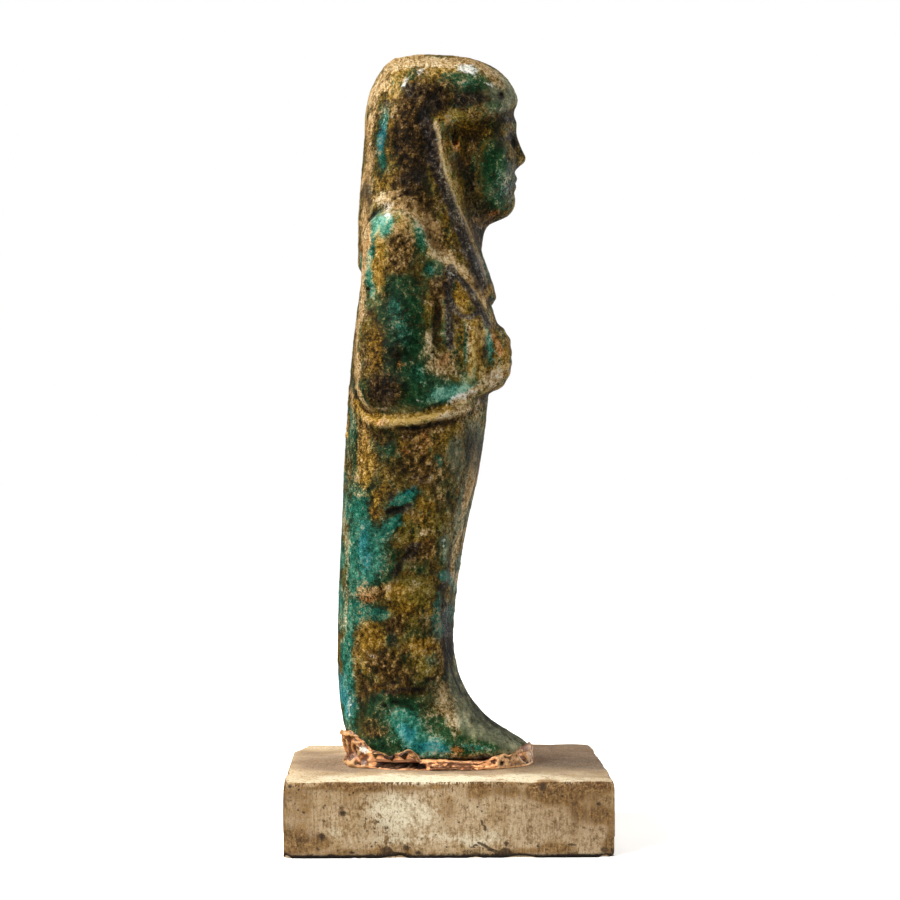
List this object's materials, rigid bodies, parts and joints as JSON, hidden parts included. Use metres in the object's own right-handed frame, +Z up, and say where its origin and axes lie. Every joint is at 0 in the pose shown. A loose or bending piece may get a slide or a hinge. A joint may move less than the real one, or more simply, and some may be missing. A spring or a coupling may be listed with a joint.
{
  "type": "shabti figure on a stone block",
  "caption": "Small mummy-shaped funerary figure with a long wig and crossed arms, set in wax on a rectangular stone block.",
  "frame": {"origin": "middle of the stone block's underside", "axes": "+Z up; the figure faces -Y, and its own left side is towards +X"},
  "size_m": [0.046, 0.0494, 0.1229],
  "materials": {
    "faience": "worn turquoise glaze under brown and ochre crust",
    "wax": "ragged caramel-coloured mounting wax",
    "stone": "honed, worn and stained"
  },
  "bodies": {
    "root": {"shabti_figure": "faience", "mounting_wax": "wax", "stone_base": "stone"}
  },
  "joints": []
}
